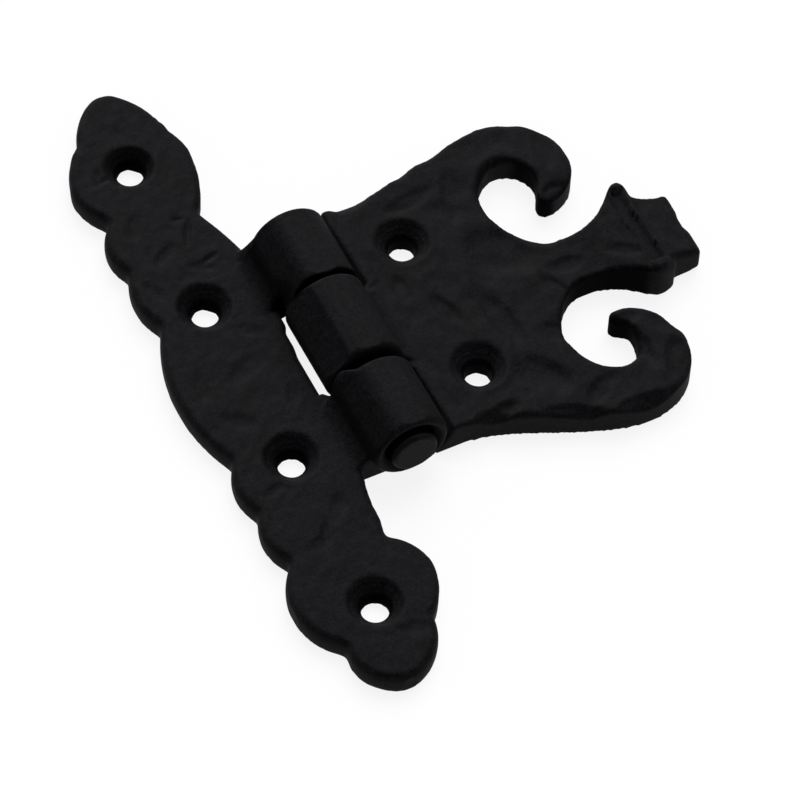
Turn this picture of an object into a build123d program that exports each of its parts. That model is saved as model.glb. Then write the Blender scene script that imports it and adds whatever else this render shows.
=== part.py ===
# Wrought-style cabinet hinge: a long scalloped frame leaf, a door leaf with two scroll horns and a
# ridged finial, and a plain pin through three knuckles.
# Millimetres. The origin is the middle of the frame leaf's inner screw pair on its back face,
# +X points to the door leaf, +Y runs along the pin, +Z points out of the cabinet front.
from build123d import *
from math import sqrt
import os

os.makedirs("parts", exist_ok=True)

# Plates
FRAME_T = 4.2             # frame leaf
DOOR_T = 5.4              # door leaf
FRAME_EDGE = 0.7          # bevel along the front edge of the frame leaf

# Screw holes
HOLE_R = 2.2
SINK_R = 4.3
SINK_ANGLE = 82
OUTER_SPACING = 92.1      # frame leaf, outer pair
OUTER_MIDDLE = 0.5        # its middle from the inner pair's
INNER_SPACING = 31.9      # frame leaf, inner pair
DOOR_SPACING = 27.1       # door leaf pair
DOOR_SCREWS_X = 17.0      # door leaf pair, from the pin

# Barrel and pin
PIN_X = 16.8              # pin from the frame leaf's screw line
PIN_R = 3.9
BARREL_R = 6.4
BARREL_LIFT = 0.9         # keeps the barrel off the surface that the hinge is screwed to
RUNNING_GAP = 0.08        # bore of the door knuckle around the pin
SWING_GAP = 0.9           # edge of the door leaf around the frame knuckles
NOTCH_GAP = 1.1           # edge of the frame leaf beside the door knuckle
BARREL_TOP = 21.65
BARREL_BOTTOM = -24.25
DOOR_KNUCKLE_TOP = 7.35
DOOR_KNUCKLE_BOTTOM = -8.45
UPPER_GAP = 0.4           # between the knuckles
LOWER_GAP = 1.8
KNUCKLE_BEVEL = 0.6
BORE_MOUTH = 1.4          # bevel where the pin leaves the barrel
WEB_FILLET = 3.4          # hollow between a leaf and its knuckle
NOTCH_TOP = 11.25         # upper end of the notch for the door knuckle
NOTCH_TOP_ROUND = 1.2
NOTCH_LOW_ROUND = 3.8
SEAM = 1.5                # where a strap's end closes against the barrel, from the pin
DOOR_EDGE = 4.0           # inner edge of the door leaf under the barrel, from the pin
PIN_FOOT = 1.3            # pin below the barrel
PIN_HEAD = 0.4            # pin above the barrel
PIN_EDGE = 0.4

# Frame leaf outline, from the screw line: crests of the scallops and the notches between them
NOTCH_ROUND = 0.8
OUTER_NOTCHES = [(-4.6, 54.55), (-6.3, 38.15), (-7.8, 27.55), (-7.6, 15.85),
                 (-8.3, -12.45), (-8.8, -22.85), (-8.2, -33.15), (-7.0, -50.35)]
OUTER_CRESTS = [(-9.6, 45.75), (-9.3, 32.65), (-9.4, 22.25), (-11.5, 0.85),
                (-10.3, -17.75), (-10.3, -27.55), (-11.8, -41.25)]
FOOT = [(-6.4, -56.25), (-1.2, -59.65), (4.4, -56.95)]
TIP = [(7.6, 58.75), (2.4, 62.35), (-2.5, 59.05)]
LOWER_SHOULDER = (7.0, -50.95)
LOWER_LOBE = (11.3, -41.55)
LOWER_NOTCH = (6.7, -34.95)
UPPER_SHOULDER = (8.7, 53.15)
UPPER_LOBE = (11.3, 46.25)
UPPER_NOTCH = (7.0, 34.05)
LOWER_NECK = [(7.6, -31.75), (8.4, -26.95)]
UPPER_NECK = [(9.4, 27.55), (8.2, 31.05)]
LOWER_ROOT = (8.9, -24.35)
UPPER_ROOT = (10.3, 24.35)
STRAP_BOTTOM = -22.35     # lower edge of the strap into the barrel
STRAP_TOP = 21.65
WEB_TOE = 8.0             # sloping web above the upper strap: where it leaves the leaf, from the pin
WEB_SHOULDER = 3.6        # and where it meets the barrel

# Door leaf outline, from the pin: each scroll runs round its horn, over the tip and round its eye.
# They are hand drawn and not quite mirror images.
ROOT_TOP = (8.0, 24.35)
UPPER_HORN = [(13.0, 24.05), (20.5, 25.65), (31.0, 28.25), (38.0, 29.6), (44.6, 27.65), (48.7, 22.55),
              (49.2, 17.05), (46.9, 13.05)]
UPPER_TIP = [(44.2, 11.65), (42.4, 11.45), (41.1, 12.25), (41.3, 13.55)]
UPPER_EYE = [(42.4, 15.75), (42.4, 18.15), (40.6, 20.75), (37.7, 21.65), (33.9, 19.35), (31.95, 14.55),
             (33.1, 9.25), (36.8, 4.95)]
STEM_TOP = (42.0, 3.25)
STEM_BOTTOM = (41.0, -5.15)
LOWER_EYE = [(36.7, -6.45), (33.6, -10.15), (32.1, -14.55), (33.4, -18.75), (35.9, -21.65), (38.9, -22.55),
             (41.7, -20.75), (42.8, -17.55), (42.2, -14.75)]
LOWER_TIP = [(41.3, -13.45), (41.5, -12.45), (42.9, -12.05)]
LOWER_HORN = [(45.9, -13.35), (48.6, -16.85), (49.6, -21.15), (48.7, -25.85), (45.4, -29.55), (38.8, -31.45),
              (30.3, -29.65), (20.3, -25.45), (12.8, -22.95)]
ROOT_BOTTOM = (8.2, -22.65)

# Finial, from the pin: (place along the stem, lower side, upper side, height)
FLARE = [(38.0, -5.55, 3.95, 5.2), (42.5, -5.35, 3.25, 5.8), (46.0, -6.45, 3.95, 6.3),
         (49.0, -8.55, 5.95, 6.9), (51.0, -10.05, 7.85, 7.4)]
RIB = (52.6, -10.35, 8.35, 8.0)
GROOVE = (54.6, -9.65, 5.85, 6.2)
BLOCK_ROOT = (54.6, -8.45, 5.15, 6.8)
BLOCK_END = (60.2, -8.05, 4.35, 4.8)

PIN_Z = BARREL_R + BARREL_LIFT
EDGE_R = BARREL_R + SWING_GAP
NOTCH_X = PIN_X - BARREL_R - NOTCH_GAP
UPPER_KNUCKLE = (DOOR_KNUCKLE_TOP + UPPER_GAP, BARREL_TOP)
LOWER_KNUCKLE = (BARREL_BOTTOM, DOOR_KNUCKLE_BOTTOM - LOWER_GAP)
DOOR_KNUCKLE = (DOOR_KNUCKLE_BOTTOM, DOOR_KNUCKLE_TOP)


def across(y):
    """Section plane square to the pin, seen from the lower end: its x is +X and its y is +Z."""
    return Plane(origin=(PIN_X, y, 0), x_dir=(1, 0, 0), z_dir=(0, -1, 0))


def along(x):
    """Section plane square to the stem of the door leaf: its x is +Y and its y is +Z."""
    return Plane(origin=(PIN_X + x, 0, 0), x_dir=(0, 1, 0), z_dir=(1, 0, 0))


BARREL_PLANE = Plane(origin=(PIN_X, 0, PIN_Z))
PIN_AXIS = Axis((PIN_X, 0, PIN_Z), (0, 1, 0))

# Frame leaf: the scalloped plate, then its two knuckles with their straps
with BuildPart() as frame_leaf:
    with BuildSketch() as plate:
        with BuildLine():
            for start, crest, end in zip(OUTER_NOTCHES, OUTER_CRESTS, OUTER_NOTCHES[1:]):
                ThreePointArc(start, crest, end)
            Spline(OUTER_NOTCHES[-1], *FOOT, LOWER_SHOULDER)
            ThreePointArc(LOWER_SHOULDER, LOWER_LOBE, LOWER_NOTCH)
            Spline(LOWER_NOTCH, *LOWER_NECK, LOWER_ROOT)
            Polyline(LOWER_ROOT, (LOWER_ROOT[0], STRAP_BOTTOM), (PIN_X - SEAM, STRAP_BOTTOM),
                     (PIN_X - SEAM, STRAP_TOP), (UPPER_ROOT[0], STRAP_TOP), UPPER_ROOT)
            Spline(UPPER_ROOT, *UPPER_NECK, UPPER_NOTCH)
            ThreePointArc(UPPER_NOTCH, UPPER_LOBE, UPPER_SHOULDER)
            Spline(UPPER_SHOULDER, *TIP, OUTER_NOTCHES[0])
        make_face()
        corners = OUTER_NOTCHES + [LOWER_NOTCH, UPPER_NOTCH]
        fillet([plate.vertices().sort_by_distance((x, y, 0))[0] for x, y in corners], NOTCH_ROUND)
        with Locations((NOTCH_X, LOWER_KNUCKLE[1])):
            Rectangle(PIN_X, NOTCH_TOP - LOWER_KNUCKLE[1], align=(Align.MIN, Align.MIN), mode=Mode.SUBTRACT)
        fillet(plate.vertices().sort_by_distance((NOTCH_X, NOTCH_TOP, 0))[0], NOTCH_TOP_ROUND)
        fillet(plate.vertices().sort_by_distance((NOTCH_X, LOWER_KNUCKLE[1], 0))[0], NOTCH_LOW_ROUND)
    extrude(amount=FRAME_T)
    chamfer(frame_leaf.faces().sort_by(Axis.Z)[-1].edges(), FRAME_EDGE)
    meeting = sqrt(BARREL_R**2 - (PIN_Z - FRAME_T) ** 2)
    for (low, high), strap_low in ((LOWER_KNUCKLE, STRAP_BOTTOM), (UPPER_KNUCKLE, NOTCH_TOP)):
        with BuildSketch(BARREL_PLANE):
            with BuildLine():
                Polyline((0, low), (BARREL_R - KNUCKLE_BEVEL, low), (BARREL_R, low + KNUCKLE_BEVEL),
                         (BARREL_R, high - KNUCKLE_BEVEL), (BARREL_R - KNUCKLE_BEVEL, high), (0, high), close=True)
            make_face()
        revolve(axis=PIN_AXIS)
        with BuildSketch(across(high - KNUCKLE_BEVEL)) as strap:
            with Locations((0, PIN_Z)):
                Circle(BARREL_R)
            with Locations((-SEAM, 0)):
                Rectangle(meeting + 2 * WEB_FILLET - SEAM, FRAME_T, align=(Align.MAX, Align.MIN))
            fillet(strap.vertices().sort_by_distance((-meeting, FRAME_T, 0))[0], WEB_FILLET)
        extrude(amount=high - KNUCKLE_BEVEL - strap_low)
    shoulder_z = PIN_Z + sqrt(BARREL_R**2 - WEB_SHOULDER**2)
    with BuildSketch(across(STRAP_TOP - KNUCKLE_BEVEL)):
        with BuildLine():
            Polyline((-WEB_TOE, 0), (-WEB_TOE, FRAME_T), (-WEB_SHOULDER, shoulder_z), (-WEB_SHOULDER, 0), close=True)
        make_face()
    with BuildSketch(across(UPPER_ROOT[1] - FRAME_EDGE)):
        with BuildLine():
            Polyline((-WEB_TOE, 0), (-WEB_TOE, FRAME_T), (UPPER_ROOT[0] - PIN_X, FRAME_T),
                     (UPPER_ROOT[0] - PIN_X, 0), close=True)
        make_face()
    loft(ruled=True)
    with BuildSketch(BARREL_PLANE):
        with BuildLine():
            Polyline((0, BARREL_BOTTOM), (PIN_R + BORE_MOUTH, BARREL_BOTTOM),
                     (PIN_R, BARREL_BOTTOM + BORE_MOUTH), (PIN_R, BARREL_TOP - BORE_MOUTH),
                     (PIN_R + BORE_MOUTH, BARREL_TOP), (0, BARREL_TOP), close=True)
        make_face()
    revolve(axis=PIN_AXIS, mode=Mode.SUBTRACT)
    with Locations((0, OUTER_MIDDLE + OUTER_SPACING / 2, FRAME_T), (0, INNER_SPACING / 2, FRAME_T),
                   (0, -INNER_SPACING / 2, FRAME_T), (0, OUTER_MIDDLE - OUTER_SPACING / 2, FRAME_T)):
        CounterSinkHole(HOLE_R, SINK_R, counter_sink_angle=SINK_ANGLE)

frame_leaf.part.label = "frame_leaf"
export_step(frame_leaf.part, "parts/frame_leaf.step")

# Door leaf: the plate with its two scrolls, the flared stem with the ridged finial, and one knuckle
with BuildPart() as door_leaf:
    with BuildSketch(Plane(origin=(PIN_X, 0, 0))) as scrolls:
        with BuildLine():
            Spline(ROOT_TOP, *UPPER_HORN, *UPPER_TIP, *UPPER_EYE, STEM_TOP)
            Polyline(STEM_TOP, (FLARE[2][0], STEM_TOP[1]), (FLARE[2][0], STEM_BOTTOM[1]), STEM_BOTTOM)
            Spline(STEM_BOTTOM, *LOWER_EYE, *LOWER_TIP, *LOWER_HORN, ROOT_BOTTOM)
            Polyline(ROOT_BOTTOM, (DOOR_EDGE, ROOT_BOTTOM[1]), (DOOR_EDGE, ROOT_TOP[1]), ROOT_TOP)
        make_face()
    extrude(amount=DOOR_T)
    low, high = DOOR_KNUCKLE
    for start, reach in ((low, low - ROOT_BOTTOM[1] + BARREL_R), (high, high - ROOT_TOP[1] - BARREL_R)):
        with BuildSketch(across(start)):
            with Locations((0, PIN_Z)):
                Circle(EDGE_R)
        extrude(amount=reach, mode=Mode.SUBTRACT)
    for place, lower, upper, height in FLARE:
        with BuildSketch(along(place)):
            with Locations(((lower + upper) / 2, 0)):
                Rectangle(upper - lower, height, align=(Align.CENTER, Align.MIN))
    loft()
    place, lower, upper, height = RIB
    with BuildSketch(along(FLARE[-1][0])):
        with Locations(((lower + upper) / 2, 0)):
            Rectangle(upper - lower, height, align=(Align.CENTER, Align.MIN))
    extrude(amount=place - FLARE[-1][0])
    for sections in ((RIB, GROOVE), (BLOCK_ROOT, BLOCK_END)):
        for place, lower, upper, height in sections:
            with BuildSketch(along(place)):
                with Locations(((lower + upper) / 2, 0)):
                    Rectangle(upper - lower, height, align=(Align.CENTER, Align.MIN))
        loft()
    with BuildSketch(BARREL_PLANE):
        with BuildLine():
            Polyline((0, low), (BARREL_R - KNUCKLE_BEVEL, low), (BARREL_R, low + KNUCKLE_BEVEL),
                     (BARREL_R, high - KNUCKLE_BEVEL), (BARREL_R - KNUCKLE_BEVEL, high), (0, high), close=True)
        make_face()
    revolve(axis=PIN_AXIS)
    meeting = sqrt(BARREL_R**2 - (PIN_Z - DOOR_T) ** 2)
    with BuildSketch(across(high - KNUCKLE_BEVEL)) as strap:
        with Locations((0, PIN_Z)):
            Circle(BARREL_R)
        with Locations((SEAM, 0)):
            Rectangle(meeting + 2 * WEB_FILLET - SEAM, DOOR_T, align=(Align.MIN, Align.MIN))
        fillet(strap.vertices().sort_by_distance((meeting, DOOR_T, 0))[0], WEB_FILLET)
    extrude(amount=high - low - 2 * KNUCKLE_BEVEL)
    with BuildSketch(across(high)):
        with Locations((0, PIN_Z)):
            Circle(PIN_R + RUNNING_GAP)
    extrude(amount=high - low, mode=Mode.SUBTRACT)
    screws_x = PIN_X + DOOR_SCREWS_X
    with Locations((screws_x, DOOR_SPACING / 2, DOOR_T), (screws_x, -DOOR_SPACING / 2, DOOR_T)):
        CounterSinkHole(HOLE_R, SINK_R, counter_sink_angle=SINK_ANGLE)

door_leaf.part.label = "door_leaf"
export_step(door_leaf.part, "parts/door_leaf.step")

# Pin: a plain rod, pressed into the frame knuckles and standing out a little below the barrel
with BuildPart() as hinge_pin:
    with BuildSketch(across(BARREL_TOP + PIN_HEAD)):
        with Locations((0, PIN_Z)):
            Circle(PIN_R)
    extrude(amount=BARREL_TOP + PIN_HEAD - BARREL_BOTTOM + PIN_FOOT)
    chamfer(hinge_pin.edges().filter_by(GeomType.CIRCLE), PIN_EDGE)

hinge_pin.part.label = "hinge_pin"
export_step(hinge_pin.part, "parts/hinge_pin.step")
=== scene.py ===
"""Looks of the forged cabinet hinge.

Each CAD node is remeshed, softened, hammered and coated in matte black. Lengths are millimetres unless
a name says otherwise. Blender itself works in metres."""
import math

import bmesh
import bpy
import numpy as np
from mathutils import Matrix, Vector, kdtree


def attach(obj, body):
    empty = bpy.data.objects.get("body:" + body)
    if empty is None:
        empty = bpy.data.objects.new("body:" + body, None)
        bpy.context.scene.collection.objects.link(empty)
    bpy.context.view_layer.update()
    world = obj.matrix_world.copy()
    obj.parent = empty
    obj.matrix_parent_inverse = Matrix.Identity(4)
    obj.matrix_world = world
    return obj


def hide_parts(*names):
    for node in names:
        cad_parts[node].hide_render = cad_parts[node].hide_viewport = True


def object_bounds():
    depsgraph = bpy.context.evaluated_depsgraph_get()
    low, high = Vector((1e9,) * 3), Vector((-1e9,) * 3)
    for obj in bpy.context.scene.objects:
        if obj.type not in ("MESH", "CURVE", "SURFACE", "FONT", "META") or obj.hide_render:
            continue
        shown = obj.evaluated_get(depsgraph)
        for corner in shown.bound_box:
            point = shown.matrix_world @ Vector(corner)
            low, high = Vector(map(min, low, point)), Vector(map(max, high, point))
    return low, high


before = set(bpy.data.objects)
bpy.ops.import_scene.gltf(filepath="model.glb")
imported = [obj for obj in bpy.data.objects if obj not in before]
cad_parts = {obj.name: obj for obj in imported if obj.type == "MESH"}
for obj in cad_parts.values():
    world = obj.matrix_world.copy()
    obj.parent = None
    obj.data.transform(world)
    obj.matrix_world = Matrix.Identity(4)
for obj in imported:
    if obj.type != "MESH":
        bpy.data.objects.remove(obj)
cad_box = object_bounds()
scene = bpy.context.scene

MM = 0.001
PIN_X = 16.8
PIN_Z = 7.3
FRAME_T = 4.2
DOOR_T = 5.4
SINK_R = 4.3
BARREL_R = 6.4
VOXEL = 0.34
PIN_VOXEL = 0.25
CAMERA_PLACE = (-197.13, -408.53, 647.62)
CAMERA_BACK = (-0.27646, -0.50288, 0.81895)
CAMERA_ROLL = math.radians(3.0)
# Pulls for relax: two in turn keep the size, one alone rounds corners off
KEEP_SIZE = (0.55, -0.57)
ROUND_OFF = (0.5,)
FRAME_HOLES = [(0.0, 46.55), (0.0, 15.95), (0.0, -15.95), (0.0, -45.55)]
DOOR_HOLES = [(PIN_X + 17.0, 13.55), (PIN_X + 17.0, -13.55)]
# The frame leaf's first hole as its pull leaves it, and the upper end of the finial's rib, x from the pin
FIRST_HOLE = (0.9, 46.65)
PEAK = (53.0, 8.4)
# Hammered flats of the knuckles: from and to along the pin, then (nx, nz, distance from the pin)
LOWER_FLATS = (-23.9, -10.6, ((0.12, 0.993, 6.12), (-0.8, 0.6, 6.1)))
UPPER_FLATS = (8.1, 21.3, ((0.1, 0.995, 6.08), (-0.77, 0.64, 6.12)))
MIDDLE_FLATS = (-8.2, 7.1, ((0.14, 0.99, 6.1), (-0.7, 0.714, 6.12)))

# Hand work read off the photo: pulls of the outline (x, y, reach, dx, dy) and single hammer blows
# (x, y, half length, half width, turn in degrees, depth)
FRAME_PULLS = [(7.3, 58.6, 4.0, -0.3, -0.25), (8.1, 52.6, 2.0, 0.5, 0.5),
               (-8.5, 50.0, 4.0, 0.45, 0.1), (10.8, 41.0, 5.0, -0.45, 0.0),
               (8.2, -27.0, 4.0, -0.4, 0.0), (0.0, 46.55, 6.4, 0.9, 0.1), (11.0, -47.0, 4.0, -0.25, 0.1),
               (9.3, 9.4, 2.8, 1.0, -0.4), (9.3, 4.6, 3.0, 0.35, 0.0), (10.6, -9.8, 2.8, -0.1, 1.9)]
FRAME_DENTS = [(-1.5, 28.0, 2.4, 1.0, 35, 0.4), (3.0, 23.4, 2.0, 0.9, -30, 0.4),
               (-3.5, 35.0, 2.8, 1.1, 60, 0.35), (-5.2, 46.6, 1.8, 0.6, 75, 0.4),
               (1.0, 2.4, 3.6, 1.7, 20, 0.35), (-4.4, -6.4, 2.8, 1.3, -40, 0.4),
               (2.6, -27.4, 3.0, 1.3, 50, 0.35), (-3.0, -32.4, 2.4, 1.1, 15, 0.4),
               (3.6, -52.4, 2.6, 1.2, -20, 0.3), (-6.0, 22.0, 2.2, 1.0, -70, 0.35),
               (4.4, 9.0, 2.6, 1.1, -35, 0.35), (-7.0, 2.0, 2.8, 1.1, 80, 0.35),
               (5.6, -5.0, 2.4, 1.0, 65, 0.35), (-5.0, -20.4, 2.0, 0.9, 20, 0.35),
               (3.4, 54.6, 2.4, 1.1, 40, 0.12), (3.7, 30.4, 2.6, 0.55, 64, 0.55),
               (4.7, 24.4, 1.7, 0.5, 15, 0.55), (3.3, 33.7, 1.0, 0.5, -10, 0.45),
               (-4.8, 45.7, 1.3, 0.5, 12, 0.55), (-1.6, -31.2, 2.6, 0.6, 64, 0.5)]
DOOR_PULLS = [(PIN_X + 20.0, 25.6, 6.0, 0.0, -0.35), (PIN_X + 31.0, 28.2, 6.0, 0.0, -0.4),
              (PIN_X + 39.0, 29.5, 5.0, 0.0, -0.4), (PIN_X + 45.5, 27.0, 4.0, -0.2, -0.3),
              (PIN_X + 41.3, -12.9, 2.6, -0.8, -0.4), (PIN_X + 45.5, -13.3, 3.2, -0.1, -0.6),
              (PIN_X + 48.6, -17.0, 3.6, -0.2, -0.3), (PIN_X + 36.0, -21.8, 3.0, 0.0, -0.35),
              (PIN_X + 40.4, -22.2, 2.6, 0.1, -0.35), (PIN_X + PEAK[0], PEAK[1], 2.4, 0.6, 0.3),
              (PIN_X + 57.5, 4.8, 2.0, 0.0, -0.3), (PIN_X + 59.4, 3.4, 1.8, 0.05, 0.2),
              (PIN_X + 59.6, -1.4, 2.0, -0.4, 0.0), (PIN_X + 59.6, -5.4, 2.2, 0.05, 0.0)]
DOOR_DENTS = [(PIN_X + 30.3, 5.3, 5.8, 4.0, -40, 0.8), (PIN_X + 24.6, -6.5, 5.2, 1.9, -82, 0.55),
              (PIN_X + 17.4, -1.6, 3.4, 1.3, -72, 0.45), (PIN_X + 35.4, -5.2, 3.2, 1.3, -70, 0.5),
              (PIN_X + 25.6, -19.0, 4.8, 2.6, -57, 0.65), (PIN_X + 41.6, -19.0, 5.0, 1.8, -78, 0.7),
              (PIN_X + 42.6, -14.6, 2.6, 1.7, 20, 0.6), (PIN_X + 44.0, 12.6, 2.2, 1.4, 10, 0.55),
              (PIN_X + 28.2, 18.4, 5.0, 1.5, 70, 0.4), (PIN_X + 16.5, -23.0, 3.0, 1.3, 15, 0.7),
              (PIN_X + 26.4, -27.6, 4.4, 1.3, -22, 0.6), (PIN_X + 37.5, -30.6, 4.0, 1.3, -4, 0.6),
              (PIN_X + 46.6, 1.6, 3.6, 1.2, 60, 0.18), (PIN_X + 48.4, -4.0, 3.2, 1.1, -35, 0.2),
              (PIN_X + 38.5, 25.6, 3.6, 1.6, 25, 0.1), (PIN_X + 46.2, 20.6, 3.6, 1.6, 80, 0.4),
              (PIN_X + 21.5, 20.6, 4.0, 1.6, 10, 0.35), (PIN_X + 32.5, -25.6, 3.6, 1.5, 35, 0.4),
              (PIN_X + 46.4, -25.0, 3.8, 1.7, 62, 0.45), (PIN_X + 12.6, 5.0, 2.8, 1.3, 85, 0.35),
              (PIN_X + 30.6, -12.4, 2.8, 1.6, -40, 0.35), (PIN_X + 39.0, -1.6, 2.8, 1.4, -10, 0.4)]


# Meshes

def remeshed(node, name, voxel):
    """A fine, even mesh of a CAD node as a new object."""
    bm = bmesh.new()
    bm.from_mesh(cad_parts[node].data)
    bmesh.ops.remove_doubles(bm, verts=bm.verts, dist=1e-6)
    rough = bpy.data.meshes.new(name + "_rough")
    bm.to_mesh(rough)
    bm.free()
    piece = bpy.data.objects.new(name, rough)
    scene.collection.objects.link(piece)
    modifier = piece.modifiers.new("remesh", "REMESH")
    modifier.mode = "VOXEL"
    modifier.voxel_size = voxel * MM
    depsgraph = bpy.context.evaluated_depsgraph_get()
    mesh = bpy.data.meshes.new_from_object(piece.evaluated_get(depsgraph))
    mesh.name = name
    piece.modifiers.clear()
    piece.data = mesh
    bpy.data.meshes.remove(rough)
    return piece


def points(piece):
    """Vertex places in millimetres."""
    flat = np.zeros(len(piece.data.vertices) * 3)
    piece.data.vertices.foreach_get("co", flat)
    return flat.reshape(-1, 3) / MM


def normals(piece):
    flat = np.zeros(len(piece.data.vertices) * 3)
    piece.data.vertices.foreach_get("normal", flat)
    return flat.reshape(-1, 3)


def put(piece, places):
    """Sets the vertex places, kept inside the box of the CAD model."""
    places = np.clip(places, np.array(cad_box[0]) / MM, np.array(cad_box[1]) / MM)
    piece.data.vertices.foreach_set("co", (places * MM).ravel())
    piece.data.update()
    piece.data.polygons.foreach_set("use_smooth", np.ones(len(piece.data.polygons), bool))


def relax(piece, places, rounds, weight=None, pulls=KEEP_SIZE):
    """Evens out the steps of the remesh, where the weight allows it."""
    ends = np.zeros(len(piece.data.edges) * 2, int)
    piece.data.edges.foreach_get("vertices", ends)
    a, b = ends.reshape(-1, 2).T
    count = np.bincount(a, minlength=len(places)) + np.bincount(b, minlength=len(places))
    for _ in range(rounds):
        for pull in pulls:
            total = np.zeros_like(places)
            for axis in range(3):
                total[:, axis] = (np.bincount(a, places[b, axis], len(places))
                                  + np.bincount(b, places[a, axis], len(places)))
            step = pull * (total / count[:, None] - places)
            places = places + (step if weight is None else step * weight[:, None])
    return places


def smooth_step(low, high, value):
    t = np.clip((value - low) / (high - low), 0.0, 1.0)
    return t * t * (3.0 - 2.0 * t)


def wall_distance(places, facing, top, holes, keep):
    """Distance of each point from the plate's outline, seen from the front."""
    wall = (np.abs(facing[:, 2]) < 0.35) & (places[:, 2] > 0.6) & (places[:, 2] < top - 0.9) & keep
    for x, y in holes:
        wall &= np.hypot(places[:, 0] - x, places[:, 1] - y) > SINK_R + 0.4
    rim = places[wall]
    tree = kdtree.KDTree(len(rim))
    for number, (x, y, _) in enumerate(rim):
        tree.insert((x, y, 0.0), number)
    tree.balance()
    return np.array([tree.find((x, y, 0.0))[2] for x, y, _ in places])


def hammered(places, seed, spacing, depth, box):
    """Shallow dishes of a hammer, side by side, as a depth at each point."""
    rng = np.random.default_rng(seed)
    (x0, y0), (x1, y1) = box
    xs = np.arange(x0, x1 + spacing, spacing)
    ys = np.arange(y0, y1 + spacing, spacing)
    grid = np.array([(x + (0.5 * spacing if i % 2 else 0.0), y) for i, y in enumerate(ys) for x in xs])
    grid += rng.uniform(-0.42, 0.42, grid.shape) * spacing
    lift = rng.uniform(0.0, 0.55, len(grid))
    best = np.full(len(places), 9.0)
    for (x, y), up in zip(grid, lift):
        r2 = ((places[:, 0] - x) ** 2 + (places[:, 1] - y) ** 2) / (0.62 * spacing) ** 2
        best = np.minimum(best, r2 + up)
    return depth * (1.0 - np.clip(best, 0.0, 1.0))


def dents(places, strokes):
    """Single blows: (x, y, half length, half width, turn in degrees, depth)."""
    total = np.zeros(len(places))
    for x, y, long, wide, turn, depth in strokes:
        c, s = math.cos(math.radians(turn)), math.sin(math.radians(turn))
        u = ((places[:, 0] - x) * c + (places[:, 1] - y) * s) / long
        v = (-(places[:, 0] - x) * s + (places[:, 1] - y) * c) / wide
        total = np.maximum(total, depth * np.exp(-((u * u + v * v) ** 2.4)))
    return total


def hole_shield(places, holes):
    """0 on the countersinks, 1 away from them."""
    shield = np.ones(len(places))
    for x, y in holes:
        r = np.hypot(places[:, 0] - x, places[:, 1] - y)
        shield = np.minimum(shield, smooth_step(SINK_R - 0.6, SINK_R + 1.6, r))
    return shield


def nudge(places, pulls):
    """Uneven hand-made outline: (x, y, reach, dx, dy) moves what lies near a point."""
    moved = places.copy()
    for x, y, reach, dx, dy in pulls:
        r = np.hypot(places[:, 0] - x, places[:, 1] - y)
        weight = 1.0 - smooth_step(0.35 * reach, 1.3 * reach, r)
        moved[:, 0] += weight * dx
        moved[:, 1] += weight * dy
    return moved


def loosen(places):
    """Stands the door leaf off the frame's knuckles, most at their lower ends. Widens its own knuckle."""
    x, y = places[:, 0] - PIN_X, places[:, 1]
    upper = smooth_step(7.5, 8.6, y) * (0.8 + 0.45 * np.clip((22.0 - y) / 14.0, 0.0, 1.0))
    lower = smooth_step(-8.7, -9.8, y) * (0.75 + 0.4 * np.clip((-9.8 - y) / 14.0, 0.0, 1.0))
    moved = places.copy()
    moved[:, 0] += (upper + lower) * (1.0 - smooth_step(8.0, 11.5, x))
    moved[:, 0] -= 0.7 * smooth_step(-1.5, -5.5, x)
    return moved


def widen(places, holes):
    """Countersinks cut a little too deep: their rim is pushed out, most of all on the upper side."""
    moved = places.copy()
    for x, y in holes:
        dx, dy = places[:, 0] - x, places[:, 1] - y
        r = np.hypot(dx, dy)
        weight = smooth_step(2.6, SINK_R, r) * (1.0 - smooth_step(SINK_R + 0.3, SINK_R + 3.2, r))
        push = weight * (0.22 + 0.3 * np.clip(dy / np.maximum(r, 1e-6), 0.0, 1.0))
        moved[:, 0] += push * dx / np.maximum(r, 1e-6)
        moved[:, 1] += push * dy / np.maximum(r, 1e-6)
    return moved


def waves(places, seed, length, count=24):
    """Smooth uneven field between about -1 and 1 over the plate."""
    rng = np.random.default_rng(seed)
    total = np.zeros(len(places))
    for _ in range(count):
        turn = rng.uniform(0.0, 2.0 * math.pi)
        step = 2.0 * math.pi / (length * rng.uniform(0.6, 1.8))
        phase = rng.uniform(0.0, 2.0 * math.pi)
        total += np.cos((places[:, 0] * math.cos(turn) + places[:, 1] * math.sin(turn)) * step + phase)
    return total * math.sqrt(2.0 / count) * 0.6


def flatten(places, low, high, cuts):
    """Hammered flats along the barrel between two places on the pin: (nx, nz, distance from the pin)."""
    inside = (places[:, 1] > low) & (places[:, 1] < high) & (places[:, 2] > PIN_Z)
    for nx, nz, limit in cuts:
        reach = (places[:, 0] - PIN_X) * nx + (places[:, 2] - PIN_Z) * nz
        over = np.where(inside, np.clip(reach - limit, 0.0, None), 0.0)
        places[:, 0] -= over * nx
        places[:, 2] -= over * nz
    return places


def keep_painted_shading(piece, places, holes, top, sink_shading, tone_and_painted_shading):
    """Stores the painted light and shade of the coat at each point, and its distance from a hole for the
    turned rings.
    """
    ring = np.zeros(len(places))
    painted_shading = np.ones(len(places))
    for x, y in holes:
        r = np.hypot(places[:, 0] - x, places[:, 1] - y)
        inside = (r < SINK_R + 0.5) & (places[:, 2] < top - 0.25)
        ring[inside] = r[inside]
        # Painted shade in the countersinks: darker towards the bore, and the whole countersink scaled
        # lighter or darker by the given factor
        painted_shading[inside] = sink_shading * (0.45 + 0.55 * smooth_step(2.3, 3.2, r[inside]))
    painted_shading *= tone_and_painted_shading
    for name, values in (("ring", ring), ("painted_shading", painted_shading)):
        layer = piece.data.attributes.new(name, "FLOAT", "POINT")
        layer.data.foreach_set("value", values.astype(np.float32))


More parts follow.
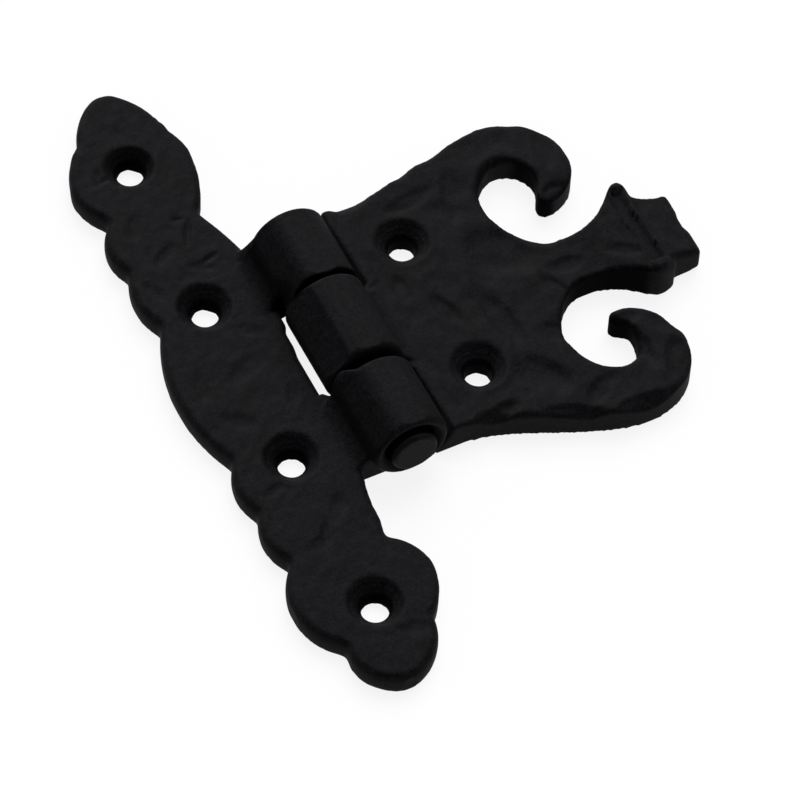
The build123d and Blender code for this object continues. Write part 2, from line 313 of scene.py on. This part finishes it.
def painted_barrel_shade(piece, places):
    """Painted shade: the hammered left flats of the barrel, turned away from the light, are painted
    darker than its crown.
    """
    left = smooth_step(0.28, 0.5, -normals(piece)[:, 0]) * (places[:, 2] > 4.6)
    return 1.0 - 0.2 * left * (np.abs(places[:, 0] - PIN_X) < BARREL_R + 0.3)


# Frame leaf

frame_leaf = remeshed("frame_leaf", "frame_leaf_forged", VOXEL)
spots = relax(frame_leaf, points(frame_leaf), 3)
plate = smooth_step(PIN_X - 7.6, PIN_X - 10.4, spots[:, 0])
# The notches of the scallops are softened, and the outline pushed out by what that took away
soft = plate * hole_shield(spots, FRAME_HOLES)
spots[:, :2] = relax(frame_leaf, spots, 26, soft, ROUND_OFF)[:, :2]
put(frame_leaf, spots)
spots[:, :2] += 0.22 * normals(frame_leaf)[:, :2] * soft[:, None]
put(frame_leaf, spots)
edge = wall_distance(spots, normals(frame_leaf), FRAME_T, FRAME_HOLES, spots[:, 0] < PIN_X - 7.5)
drop = 0.15 * np.clip(1.0 - edge / 0.9, 0.0, 1.0)
drop += hammered(spots, 11, 6.5, 0.1, ((-14, -64), (16, 64))) * hole_shield(spots, FRAME_HOLES)
drop += 0.04 * (1.0 + waves(spots, 3, 3.2))
drop += 0.65 * dents(spots, FRAME_DENTS)
spots[:, 2] *= 1.0 - plate * np.clip(drop, 0.0, 1.2) / FRAME_T
spots = nudge(widen(spots, FRAME_HOLES[1:]), FRAME_PULLS)
spots = flatten(spots, *LOWER_FLATS)
spots = flatten(spots, *UPPER_FLATS)
put(frame_leaf, spots)
# Painted shade: the mouth of the bore around the pin's lower end, and the end wall beside the upper
# knuckle
mouth_shade = smooth_step(-22.4, -23.2, spots[:, 1])
mouth_shade *= np.hypot(spots[:, 0] - PIN_X, spots[:, 2] - PIN_Z) < 4.35
nook_shade = smooth_step(0.3, 0.6, -normals(frame_leaf)[:, 1])
nook_shade *= (np.abs(spots[:, 1] - 9.4) < 3.4) & (spots[:, 0] > 7.5)
tone_and_painted_shading = painted_barrel_shade(frame_leaf, spots) * (1.0 - 0.75 * mouth_shade) * (1.0 - 0.8 * nook_shade)
# Countersinks: painted a little darker, their bores darker still
keep_painted_shading(frame_leaf, spots, [FIRST_HOLE] + FRAME_HOLES[1:], FRAME_T - 0.2, 0.95, tone_and_painted_shading)

# Door leaf

door_leaf = remeshed("door_leaf", "door_leaf_forged", VOXEL)
spots = relax(door_leaf, points(door_leaf), 3)
tip = smooth_step(PIN_X + 50.0, PIN_X + 51.5, spots[:, 0])
spots = relax(door_leaf, spots, 24, tip)
spots = relax(door_leaf, spots, 11, tip, ROUND_OFF)
peak = 1.0 - smooth_step(1.8, 3.4, np.hypot(spots[:, 0] - PIN_X - PEAK[0], spots[:, 1] - PEAK[1]))
spots = relax(door_leaf, spots, 14, peak, ROUND_OFF)
put(door_leaf, spots)
along = spots[:, 0] - PIN_X
plate = smooth_step(7.4, 10.6, along)
edge = wall_distance(spots, normals(door_leaf), DOOR_T, DOOR_HOLES, along > 4.5)
stem = smooth_step(37.0, 42.0, along) * (1.0 - smooth_step(3.0, 9.0, np.abs(spots[:, 1] + 1.0) - 1.5))
worn = np.clip(0.5 + 0.55 * waves(spots, 8, 9.0), 0.12, 1.3) * (1.0 - 0.8 * stem)
drop = 0.8 * worn * np.clip(1.0 - edge / (0.6 + 1.0 * worn), 0.0, 1.0) ** 1.3
drop += 0.12 * np.clip(1.0 - edge / 0.5, 0.0, 1.0)
drop *= 1.0 - peak
dishes = hammered(spots, 5, 8.0, 0.28, ((PIN_X + 4, -36), (PIN_X + 62, 34)))
drop += dishes * hole_shield(spots, DOOR_HOLES)
drop += 0.08 * (1.0 + waves(spots, 4, 4.0))
drop += dents(spots, DOOR_DENTS)
spots[:, 2] *= 1.0 - plate * np.clip(drop, 0.0, 1.6) / DOOR_T
spots = loosen(nudge(widen(spots, DOOR_HOLES), DOOR_PULLS))
spots = flatten(spots, *MIDDLE_FLATS)
put(door_leaf, spots)
# Painted shade darkens the walls inside the scrolls and under the stem; painted light lifts the finial's
# groove end
wall = 1.0 - smooth_step(0.35, 0.75, np.abs(normals(door_leaf)[:, 2]))
inner_wall_shade = smooth_step(31.0, 32.5, along) * (1.0 - smooth_step(52.0, 53.0, along))
inner_wall_shade *= 1.0 - smooth_step(20.6, 22.2, np.abs(spots[:, 1] + 0.6))
inner_wall_shade *= 1.0 - smooth_step(42.6, 44.0, along) * smooth_step(8.0, 9.5, np.abs(spots[:, 1] + 0.6))
inner_wall_shade *= 1.0 - smooth_step(49.0, 50.5, along) * smooth_step(4.0, 5.5, spots[:, 1])
# The groove's steep end faces away from the light, so it is painted lighter
groove_end_light = 1.0 + 1.3 * peak * smooth_step(0.1, 0.5, -normals(door_leaf)[:, 1])
tone_and_painted_shading = painted_barrel_shade(door_leaf, spots) * groove_end_light * (1.0 - 0.5 * wall * inner_wall_shade)
# Countersinks: painted lighter, their bores darker
keep_painted_shading(door_leaf, spots, DOOR_HOLES, DOOR_T - 0.3, 1.25, tone_and_painted_shading)

# Pin

hinge_pin = remeshed("hinge_pin", "hinge_pin_turned", PIN_VOXEL)
put(hinge_pin, relax(hinge_pin, points(hinge_pin), 2))
pin_y = points(hinge_pin)[:, 1]
# Painted shade: the pin's side, seen in the gaps between the knuckles and in the bore's mouth, is painted
# nearly black
side_wall_shade = smooth_step(-24.8, -24.5, pin_y) * (1.0 - smooth_step(21.2, 21.6, pin_y))
keep_painted_shading(hinge_pin, points(hinge_pin), [], 0.0, 1.0, 1.0 - 0.85 * side_wall_shade)

for piece, node, body, slot in ((frame_leaf, "frame_leaf", "frame", "black_iron"),
                                (door_leaf, "door_leaf", "door", "black_iron"),
                                (hinge_pin, "hinge_pin", "frame", "pin_steel")):
    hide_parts(node)
    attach(piece, body)


# Materials

def shader(name):
    material = bpy.data.materials.new(name)
    material.use_nodes = True
    nodes = material.node_tree.nodes
    return material, nodes, material.node_tree.links, nodes["Principled BSDF"]


def noise(nodes, links, place, scale, detail, rough=0.5):
    node = nodes.new("ShaderNodeTexNoise")
    node.inputs["Scale"].default_value = scale
    node.inputs["Detail"].default_value = detail
    node.inputs["Roughness"].default_value = rough
    links.new(place.outputs["Object"], node.inputs["Vector"])
    return node


def ramp(nodes, links, source, stops):
    node = nodes.new("ShaderNodeValToRGB")
    while len(node.color_ramp.elements) < len(stops):
        node.color_ramp.elements.new(0.5)
    for element, (place, colour) in zip(node.color_ramp.elements, stops):
        element.position = place
        element.color = (*colour, 1.0)
    links.new(source, node.inputs["Fac"])
    return node


def scaled(nodes, links, colour, factor):
    """Multiplies a colour by a grey factor."""
    node = nodes.new("ShaderNodeVectorMath")
    node.operation = "SCALE"
    links.new(colour, node.inputs[0])
    links.new(factor, node.inputs["Scale"])
    return node.outputs["Vector"]


def spread(nodes, links, source, low, high, to_low, to_high):
    node = nodes.new("ShaderNodeMapRange")
    for socket, value in (("From Min", low), ("From Max", high), ("To Min", to_low), ("To Max", to_high)):
        node.inputs[socket].default_value = value
    links.new(source, node.inputs["Value"])
    return node.outputs["Result"]


def bump(nodes, links, height, strength, distance, below=None):
    node = nodes.new("ShaderNodeBump")
    node.inputs["Strength"].default_value = strength
    node.inputs["Distance"].default_value = distance
    links.new(height, node.inputs["Height"])
    if below is not None:
        links.new(below, node.inputs["Normal"])
    return node.outputs["Normal"]


def black_coat(name, dark, light, grey, violet, rough_low, rough_high, specular):
    """Matte black coat: fine speckle, grey and violet patches, turned rings in the countersinks."""
    material, nodes, links, principled = shader(name)
    place = nodes.new("ShaderNodeTexCoord")
    grain = noise(nodes, links, place, 2500.0, 3.0, 0.75).outputs["Fac"]
    patches = noise(nodes, links, place, 150.0, 3.0, 0.6).outputs["Fac"]
    pits = noise(nodes, links, place, 900.0, 3.0, 0.55).outputs["Fac"]
    speckle = ramp(nodes, links, grain, ((0.34, dark), (0.66, light)))
    tone_and_painted_shading = ramp(nodes, links, patches, ((0.36, grey), (0.64, violet)))
    mixed = nodes.new("ShaderNodeMix")
    mixed.data_type = "RGBA"
    mixed.blend_type = "MULTIPLY"
    mixed.inputs["Factor"].default_value = 1.0
    links.new(speckle.outputs["Color"], mixed.inputs["A"])
    links.new(tone_and_painted_shading.outputs["Color"], mixed.inputs["B"])
    mottle = spread(nodes, links, pits, 0.3, 0.7, 0.72, 1.28)
    colour = scaled(nodes, links, mixed.outputs["Result"], mottle)
    # Painted light: faces turned sideways are painted a little lighter and warmer, faces turned up a
    # little violet
    facing = nodes.new("ShaderNodeSeparateXYZ")
    links.new(place.outputs["Normal"], facing.inputs["Vector"])
    painted_facing_tint = ramp(nodes, links, facing.outputs["Z"],
                ((0.25, (1.06, 1.05, 0.97)), (0.85, (1.0, 0.98, 1.08))))
    tinted = nodes.new("ShaderNodeVectorMath")
    tinted.operation = "MULTIPLY"
    links.new(colour, tinted.inputs[0])
    links.new(painted_facing_tint.outputs["Color"], tinted.inputs[1])
    colour = tinted.outputs["Vector"]
    # The painted light and shade stored on the mesh darken or lighten the coat here
    painted_shading = nodes.new("ShaderNodeAttribute")
    painted_shading.attribute_name = "painted_shading"
    colour = scaled(nodes, links, colour, painted_shading.outputs["Fac"])
    ring = nodes.new("ShaderNodeAttribute")
    ring.attribute_name = "ring"
    turned = nodes.new("ShaderNodeMath")
    turned.operation = "MULTIPLY"
    turned.inputs[1].default_value = 9.0
    links.new(ring.outputs["Fac"], turned.inputs[0])
    groove = nodes.new("ShaderNodeMath")
    groove.operation = "SINE"
    links.new(turned.outputs["Value"], groove.inputs[0])
    rings = spread(nodes, links, groove.outputs["Value"], -1.0, 1.0, 0.75, 1.25)
    colour = scaled(nodes, links, colour, rings)
    links.new(colour, principled.inputs["Base Color"])
    rough = spread(nodes, links, grain, 0.3, 0.7, rough_low, rough_high)
    links.new(rough, principled.inputs["Roughness"])
    pitted = bump(nodes, links, pits, 0.6, 0.00014)
    links.new(bump(nodes, links, grain, 0.6, 0.00006, pitted), principled.inputs["Normal"])
    sheen = spread(nodes, links, painted_shading.outputs["Fac"], 0.4, 1.0, 0.0, specular)
    links.new(sheen, principled.inputs["Specular IOR Level"])
    return material


coat = black_coat("black_forged_coat", dark=(0.0009, 0.0009, 0.0010), light=(0.0089, 0.0089, 0.0095),
                  grey=(0.92, 0.93, 0.91), violet=(1.04, 1.02, 1.18),
                  rough_low=0.6, rough_high=0.78, specular=0.05)
pin_coat = black_coat("black_pin_coat", dark=(0.0030, 0.0030, 0.0031), light=(0.0058, 0.0058, 0.0060),
                      grey=(0.95, 0.95, 0.95), violet=(1.0, 1.0, 1.0),
                      rough_low=0.55, rough_high=0.7, specular=0.06)
for piece, material in ((frame_leaf, coat), (door_leaf, coat), (hinge_pin, pin_coat)):
    piece.data.materials.clear()
    piece.data.materials.append(material)

# Floor, light and camera

bm = bmesh.new()
bmesh.ops.create_grid(bm, x_segments=8, y_segments=8, size=20.0)
ground = bpy.data.meshes.new("floor")
bm.to_mesh(ground)
bm.free()
floor = bpy.data.objects.new("floor", ground)
floor.location.z = -0.00005
scene.collection.objects.link(floor)
paper, nodes, links, principled = shader("pale_floor")
place = nodes.new("ShaderNodeTexCoord")
fibre = noise(nodes, links, place, 40.0, 3.0)
pale = ramp(nodes, links, fibre.outputs["Fac"], ((0.0, (0.93, 0.93, 0.93)), (1.0, (0.95, 0.95, 0.95))))
links.new(pale.outputs["Color"], principled.inputs["Base Color"])
principled.inputs["Roughness"].default_value = 1.0
principled.inputs["Specular IOR Level"].default_value = 0.0
ray = nodes.new("ShaderNodeLightPath")
seen = ray.outputs["Is Camera Ray"]
for other in ("Is Glossy Ray", "Is Transmission Ray"):
    either = nodes.new("ShaderNodeMath")
    either.operation = "MAXIMUM"
    links.new(seen, either.inputs[0])
    links.new(ray.outputs[other], either.inputs[1])
    seen = either.outputs["Value"]
share = nodes.new("ShaderNodeMath")
share.operation = "MULTIPLY"
share.inputs[1].default_value = 0.8
links.new(seen, share.inputs[0])
white = nodes.new("ShaderNodeEmission")
blend = nodes.new("ShaderNodeMixShader")
links.new(share.outputs["Value"], blend.inputs["Fac"])
links.new(principled.outputs["BSDF"], blend.inputs[1])
links.new(white.outputs["Emission"], blend.inputs[2])
links.new(blend.outputs["Shader"], nodes["Material Output"].inputs["Surface"])
floor.data.materials.append(paper)

world = bpy.data.worlds.new("studio")
scene.world = world
world.use_nodes = True
nodes, links = world.node_tree.nodes, world.node_tree.links
place = nodes.new("ShaderNodeTexCoord")
split = nodes.new("ShaderNodeSeparateXYZ")
links.new(place.outputs["Generated"], split.inputs["Vector"])
sky = ramp(nodes, links, split.outputs["Z"], ((0.0, (1.0, 1.0, 1.0)), (0.08, (0.9, 0.9, 0.9)),
                                              (0.28, (0.2, 0.2, 0.2)), (1.0, (0.2, 0.2, 0.2))))
links.new(sky.outputs["Color"], nodes["Background"].inputs["Color"])


def sun(name, towards, strength, width, shadow=True):
    light = bpy.data.lights.new(name, "SUN")
    light.use_shadow = shadow
    light.energy = strength
    light.angle = math.radians(width)
    lamp = bpy.data.objects.new(name, light)
    lamp.rotation_euler = Vector(towards).to_track_quat("Z", "Y").to_euler()
    scene.collection.objects.link(lamp)


sun("key", (0.35, 0.45, 0.82), 1.9, 50.0)
sun("rake", (0.1, 0.88, 0.45), 2.4, 25.0, False)

back = Vector(CAMERA_BACK).normalized()
side = (-back).cross(Vector((0, 0, 1))).normalized()
up = side.cross(-back)
cos_roll = math.cos(CAMERA_ROLL)
sin_roll = math.sin(CAMERA_ROLL)
side, up = side * cos_roll + up * sin_roll, up * cos_roll - side * sin_roll
lens = bpy.data.cameras.new("camera")
lens.sensor_width = 36.0
lens.lens = 225.0
camera = bpy.data.objects.new("camera", lens)
turn = Matrix((side, up, back)).transposed().to_4x4()
camera.matrix_world = Matrix.Translation(Vector(CAMERA_PLACE) * MM) @ turn
scene.collection.objects.link(camera)
scene.camera = camera
scene.view_settings.view_transform = "Standard"
